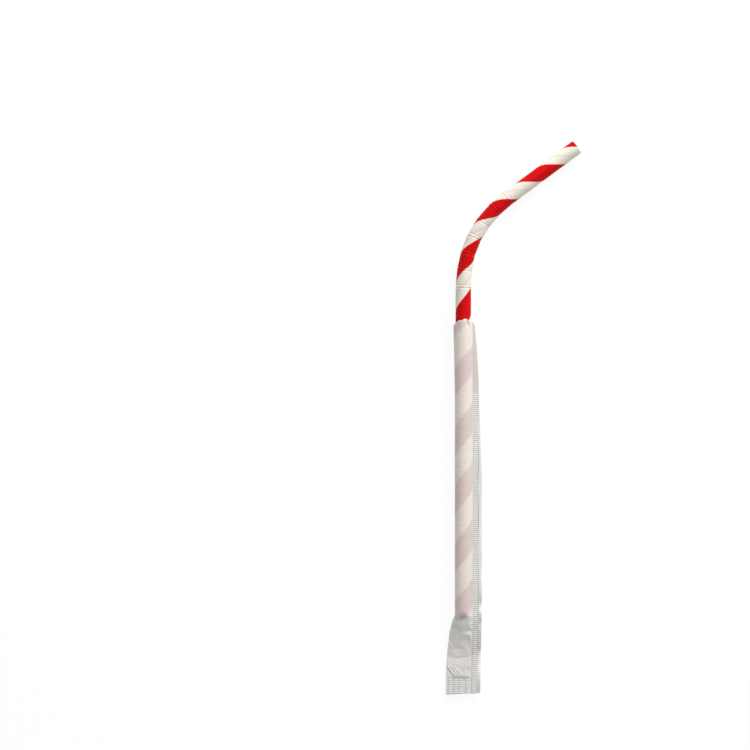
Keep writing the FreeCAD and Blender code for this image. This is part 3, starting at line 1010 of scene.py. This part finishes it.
def shell_faces(outer, inner, far_from):
    """Faces of the closed sheet: its outer and inner sides, its cut end and its torn edge."""
    wide, narrow = outer.shape[1], inner.shape[1]
    base = outer.shape[0] * wide
    last, mouth = base - wide, base + (inner.shape[0] - 1) * narrow
    faces = []
    for row in range(0, last, wide):
        for k in range(wide):
            a, b = row + k, row + (k + 1) % wide
            faces.append((b, b + wide, a + wide, a))
    for row in range(base, mouth, narrow):
        for k in range(narrow):
            a, b = row + k, row + (k + 1) % narrow
            faces.append((a + narrow, b + narrow, b, a))
    fin = list(range(PLY_STEPS + 1, far_from))
    for a in range(PLY_STEPS):
        faces.append((wide - 1 - a, wide - 2 - a, a + 1, a))
    faces.append((far_from, *fin[::-1], PLY_STEPS))
    for a in range(PLY_STEPS):
        faces.append((last + a + 1, mouth + a + 1, mouth + a, last + a))
    faces.append((*(last + k for k in [*fin, far_from]),
                  *(mouth + PLY_STEPS + k for k in (2, 1, 0)), last + PLY_STEPS))
    inner_lower = [*range(mouth + PLY_STEPS + 2, mouth + narrow), mouth]
    for a, b, c in zip(inner_lower, inner_lower[1:], range(last + far_from, base)):
        faces.append((c + 1, b, a, c))
    faces.append((mouth, base - 1, last))
    faces.append(tuple(range(base, base + narrow)))
    return faces


def make_wrapper_mesh(straw, wrapper):
    sheet = Sheet(straw, wrapper)
    outer, inner = sheet.rows(0.0, OUTER_SPACING), sheet.rows(wrapper.paper, INNER_SPACING)
    far_from = outer.shape[1] - (PLY_STEPS + 1)
    for grid, uppers, inset in ((outer, far_from, 0.0), (inner, PLY_STEPS + 2, wrapper.paper)):
        tear_mouth(grid, uppers)
        fold_tail(grid, inset, sheet)
        keep_clear(grid, uppers, inset, straw, sheet)
        curl_margin(grid, sheet)
        grid[:, :, 2] = np.minimum(grid[:, :, 2], WRAPPER_TOP)
    slant_cut(outer, wrapper.tail)
    x, y, _ = straw_start(straw, wrapper)
    points = np.concatenate([outer.reshape(-1, 3), inner.reshape(-1, 3)]) + (x, y, 0.0)
    return points, shell_faces(outer, inner, far_from), wrapper_attributes(outer, inner)


# Knurling, by Geometry Nodes

# The crimp's columns of ribs: each one's place across and width, in millimetres.
CRIMP_COLUMNS = [(-4.75, 1.3), (-2.4, 2.0), (-0.5, 1.6), (1.95, 1.5)]
CRIMP_POINTS = 8


def knurling_tree():
    """Ribs pressed across guide lines: each rib a closed pillow that shows on both sides."""
    tree = bpy.data.node_groups.new("knurling", "GeometryNodeTree")

    def add_socket(name, kind, way="INPUT"):
        return tree.interface.new_socket(name, in_out=way, socket_type="NodeSocket" + kind)

    add_socket("Guide lines", "Geometry")
    for name, default in [
        ("Rib pitch", 0.78 * MM), ("Rib length", 1.8 * MM), ("Rib width", 0.72 * MM),
        ("Rib foot", 0.08 * MM), ("Rib height", 0.2 * MM), ("Lightest pressing", 0.5),
        ("Patch size", 8 * MM), ("Seed", 4.0),
    ]:
        add_socket(name, "Float").default_value = default
    add_socket("Material", "Material")
    add_socket("Ribs", "Geometry", "OUTPUT")
    graph = Graph(tree)
    given = graph.node("NodeGroupInput").out
    foot, height, least = given("Rib foot"), given("Rib height"), given("Lightest pressing")
    # One rib, flat as yet: its crest fades toward its ends and its sides
    block = graph.node("GeometryNodeMeshCube", None, {
        "Size": graph.combine(given("Rib length"), given("Rib width"), 2.0),
        "Vertices X": 4, "Vertices Y": 6, "Vertices Z": 2})
    x, y, z = graph.separate(graph.node("GeometryNodeInputPosition"))
    from_middle = abs(x * 2.0 / given("Rib length"))
    ends = graph.fall(from_middle, 0.4, 1.0)
    sides = (y * math.pi / given("Rib width")).math("COSINE") ** 2.0
    rib = graph.stored(block, "crest", z * sides * ends)
    rib = graph.stored(rib, "reach", ends)
    placed = graph.combine(x * (2.1 - from_middle * 1.1), y, z * foot)
    rib = graph.node("GeometryNodeSetPosition", None, {"Geometry": rib, "Position": placed})
    # How deeply each rib is pressed, in patches
    noisy = graph.node("ShaderNodeTexNoise", {"noise_dimensions": "4D"}, {
        "Vector": graph.node("GeometryNodeInputPosition"),
        "W": given("Seed"), "Scale": 1.0 / given("Patch size"), "Detail": 0.0})
    depth = least + (1.0 - least) * graph.smooth(noisy, 0.33, 0.42)
    # Ribs across the lines, and their crests raised once they are real
    lines = graph.node("GeometryNodeMeshToCurve", None, {"Mesh": given("Guide lines")})
    spaced = graph.node("GeometryNodeResampleCurve", {"mode": "LENGTH"},
                        {"Curve": lines, "Length": given("Rib pitch")})
    turned = graph.node("FunctionNodeAlignRotationToVector", {"axis": "Y"},
                        {"Vector": graph.node("GeometryNodeInputTangent")})
    ribs = graph.node("GeometryNodeInstanceOnPoints", None, {
        "Points": graph.stored(spaced, "pressing", depth), "Instance": rib,
        "Rotation": turned, "Scale": graph.combine(graph.named("share"), 1.0, 1.0)})
    real = graph.node("GeometryNodeRealizeInstances", None, {"Geometry": ribs})
    rise = graph.named("crest") * graph.named("pressing") * (height - foot)
    raised = graph.node("GeometryNodeSetPosition", None,
                        {"Geometry": real, "Offset": graph.combine(0.0, 0.0, rise)})
    finished = graph.node("GeometryNodeSetMaterial", None,
                          {"Geometry": raised, "Material": given("Material")})
    graph.node("NodeGroupOutput", None, {"Ribs": finished})
    return tree


def run_tree(name, tree, lines, values):
    """The tree's result on guide lines, each point of which has a share of the ribs' width."""
    points, edges, shares = [], [], []
    for line in lines:
        first = len(points)
        points += [point for point, _ in line]
        shares += [share for _, share in line]
        edges += [(first + i, first + i + 1) for i in range(len(line) - 1)]
    guide = bpy.data.meshes.new("guide")
    guide.from_pydata(points, edges, [])
    add_attribute(guide, "share", shares)
    holder = link_object("guide", guide)
    modifier = holder.modifiers.new("knurling", "NODES")
    modifier.node_group = tree
    for socket in tree.interface.items_tree:
        if socket.in_out == "INPUT" and socket.name in values:
            modifier[socket.identifier] = values[socket.name]
    graph = bpy.context.evaluated_depsgraph_get()
    mesh = bpy.data.meshes.new_from_object(holder.evaluated_get(graph), depsgraph=graph)
    holder.modifiers.remove(modifier)
    bpy.data.objects.remove(holder)
    bpy.data.meshes.remove(guide)
    mesh.name = name
    mesh.materials.clear()
    mesh.materials.append(values["Material"])
    mesh.polygons.foreach_set("material_index", [0] * len(mesh.polygons))
    mesh.polygons.foreach_set("use_smooth", [True] * len(mesh.polygons))
    return link_object(name, mesh)


# Operators

class PaperOperator:
    bl_options = {"REGISTER", "UNDO"}

    def settings(self, context):
        scene = context.scene
        return scene.straw_sizes, scene.wrapper_sizes, scene.paper_colours


class MESH_OT_paper_straw(PaperOperator, bpy.types.Operator):
    """Add the striped paper straw with its creased and bent neck"""

    bl_idname = "mesh.paper_straw"
    bl_label = "Paper Straw"

    def execute(self, context):
        straw, wrapper, colours = self.settings(context)
        points, faces, slots, uvs = make_straw_mesh(straw, wrapper)
        materials = [striped_paper(straw, colours), core_paper(colours)]
        piece = add_piece("paper_straw", points, faces, materials)
        piece.data.polygons.foreach_set("material_index", slots)
        layer = piece.data.uv_layers.new(name="winding")
        layer.data.foreach_set("uv", np.array(uvs, np.float32).ravel())
        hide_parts("straw")
        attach(piece, BODY)
        return {"FINISHED"}


class MESH_OT_paper_wrapper(PaperOperator, bpy.types.Operator):
    """Add the folded paper wrapper, torn open at its mouth"""

    bl_idname = "mesh.paper_wrapper"
    bl_label = "Paper Wrapper"

    def execute(self, context):
        straw, wrapper, colours = self.settings(context)
        points, faces, marks = make_wrapper_mesh(straw, wrapper)
        materials = [wrapping_paper(straw, wrapper, colours)]
        piece = add_piece("paper_wrapper", points, faces, materials)
        for name, values in marks.items():
            add_attribute(piece.data, name, values)
        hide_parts("wrapper")
        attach(piece, BODY)
        return {"FINISHED"}


class MESH_OT_knurling(PaperOperator, bpy.types.Operator):
    """Add the ribs pressed into the wrapper's seam and into the crimp at its end"""

    bl_idname = "mesh.straw_knurling"
    bl_label = "Knurling"

    def execute(self, context):
        straw, wrapper, colours = self.settings(context)
        sheet = Sheet(straw, wrapper)
        start_x, start_y, _ = straw_start(straw, wrapper)

        def guide_line(x, places, width):
            share = width / wrapper.knurl_width
            return [((x + sheet.lean(y) + start_x, y + start_y, sheet.height(y)), share)
                    for y in places]

        middle = sheet.seam + wrapper.knurl_width / 2 - 0.2 * MM
        low, top = -wrapper.tail + 0.5 * MM, wrapper.crimp - wrapper.tail - 0.3 * MM
        seam = guide_line(middle, np.arange(low, wrapper.knurled, MM), wrapper.knurl_width)
        crimp = [guide_line(x * MM, np.linspace(low, top, CRIMP_POINTS), width * MM)
                 for x, width in CRIMP_COLUMNS]
        values = {
            "Rib pitch": wrapper.rib_pitch,
            "Rib length": wrapper.knurl_width - 0.1 * MM,
            "Rib foot": wrapper.paper + 0.015 * MM,
            "Rib height": wrapper.paper + wrapper.rib_height,
            "Material": pressed_paper(colours),
        }
        tree = knurling_tree()
        for name, lines, seed, patch_size, lightest in [
            ("seam_knurling", [seam], 4.0, 7 * MM, 0.55),
            ("crimp_knurling", crimp, 9.0, 3 * MM, 0.2),
        ]:
            values.update({"Seed": seed, "Patch size": patch_size,
                           "Lightest pressing": lightest})
            piece = run_tree(name, tree, lines, values)
            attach(piece, BODY)
        return {"FINISHED"}


# Stage

# The point on the floor at the middle of the picture.
PICTURE_MIDDLE = Vector((-52.9, 16.5, 0.0)) * MM
FLOOR_HALF, FLOOR_DROP = 3.0, 0.02 * MM
# How much of what the camera sees of the floor is glow; the rest shows the shadow.
FLOOR_GLOW = 0.88
# The key light's place from the picture's middle and its size, in metres.
KEY_PLACE, KEY_SIZE = Vector((0.40, 0.76, 0.46)), 0.45
WHITE = (1.0, 1.0, 1.0, 1.0)


class SCENE_OT_straw_stage(bpy.types.Operator):
    """Add the pale floor, the soft light and the camera straight above"""

    bl_idname = "scene.straw_stage"
    bl_label = "Stage"
    bl_options = {"REGISTER", "UNDO"}

    def execute(self, context):
        settings = context.scene.stage_settings
        self.add_floor()
        self.add_lights(context, settings)
        self.add_camera(context, settings)
        context.scene.view_settings.view_transform = "Standard"
        return {"FINISHED"}

    def add_floor(self):
        material, graph = new_material("pale_floor")
        plain = graph.node("ShaderNodeBsdfDiffuse", None, {"Color": (0.95, 0.95, 0.95, 1.0)})
        glow = graph.node("ShaderNodeEmission", None, {"Color": WHITE, "Strength": 1.04})
        path = graph.node("ShaderNodeLightPath")
        seen = path.out("Is Camera Ray").math("MAXIMUM", path.out("Is Glossy Ray"))
        inputs = {0: seen * FLOOR_GLOW, 1: plain, 2: glow}
        mixed = graph.node("ShaderNodeMixShader", None, inputs)
        graph.node("ShaderNodeOutputMaterial", None, {"Surface": mixed})
        corners = [(-1, -1), (1, -1), (1, 1), (-1, 1)]
        points = [(x * FLOOR_HALF, y * FLOOR_HALF, -FLOOR_DROP) for x, y in corners]
        add_piece("floor", points, [(0, 1, 2, 3)], [material], False)

    def add_lights(self, context, settings):
        world = bpy.data.worlds.new("even_light")
        world.use_nodes = True
        world.node_tree.nodes.clear()
        graph = Graph(world.node_tree)
        light, seen = (
            graph.node("ShaderNodeBackground", None, {"Color": WHITE, "Strength": strength})
            for strength in (settings.fill_strength, 1.0)
        )
        camera_ray = graph.node("ShaderNodeLightPath").out("Is Camera Ray")
        mixed = graph.node("ShaderNodeMixShader", None, {0: camera_ray, 1: light, 2: seen})
        graph.node("ShaderNodeOutputWorld", None, {"Surface": mixed})
        context.scene.world = world
        key = bpy.data.lights.new("key_light", "AREA")
        key.energy, key.size = settings.key_power, KEY_SIZE
        lamp = link_object("key_light", key)
        lamp.location = PICTURE_MIDDLE + KEY_PLACE
        lamp.rotation_mode = "QUATERNION"
        lamp.rotation_quaternion = (lamp.location - PICTURE_MIDDLE).to_track_quat("Z", "Y")

    def add_camera(self, context, settings):
        camera = bpy.data.cameras.new("camera")
        camera.lens = settings.lens
        camera.clip_start, camera.clip_end = 0.01, 20.0
        distance = settings.frame_width * settings.lens / camera.sensor_width
        holder = link_object("camera", camera)
        holder.location = PICTURE_MIDDLE + Vector((0.0, 0.0, distance))
        context.scene.camera = holder


class VIEW3D_PT_paper_straw(bpy.types.Panel):
    """Sizes, colours and the buttons that build each piece"""

    bl_label = "Wrapped Paper Straw"
    bl_space_type = "VIEW_3D"
    bl_region_type = "UI"
    bl_category = "Straw"

    def draw(self, context):
        for name in SETTINGS:
            box = self.layout.box()
            for key in getattr(context.scene, name).bl_rna.properties.keys():
                if key not in ("rna_type", "name"):
                    box.prop(getattr(context.scene, name), key)
        for operator in OPERATORS:
            self.layout.operator(operator.bl_idname)


SETTINGS = {
    "straw_sizes": StrawSizes,
    "wrapper_sizes": WrapperSizes,
    "paper_colours": PaperColours,
    "stage_settings": StageSettings,
}
OPERATORS = [
    MESH_OT_paper_straw,
    MESH_OT_paper_wrapper,
    MESH_OT_knurling,
    SCENE_OT_straw_stage,
]


def register():
    for group in SETTINGS.values():
        bpy.utils.register_class(group)
    for name, group in SETTINGS.items():
        setattr(bpy.types.Scene, name, PointerProperty(type=group))
    for operator in OPERATORS:
        bpy.utils.register_class(operator)
    bpy.utils.register_class(VIEW3D_PT_paper_straw)


def unregister():
    bpy.utils.unregister_class(VIEW3D_PT_paper_straw)
    for operator in reversed(OPERATORS):
        bpy.utils.unregister_class(operator)
    for name in SETTINGS:
        delattr(bpy.types.Scene, name)
    for group in reversed(list(SETTINGS.values())):
        bpy.utils.unregister_class(group)


def main():
    register()
    bpy.ops.mesh.paper_straw()
    bpy.ops.mesh.paper_wrapper()
    bpy.ops.mesh.straw_knurling()
    bpy.ops.scene.straw_stage()
    bpy.context.view_layer.update()


if __name__ == "__main__":
    main()
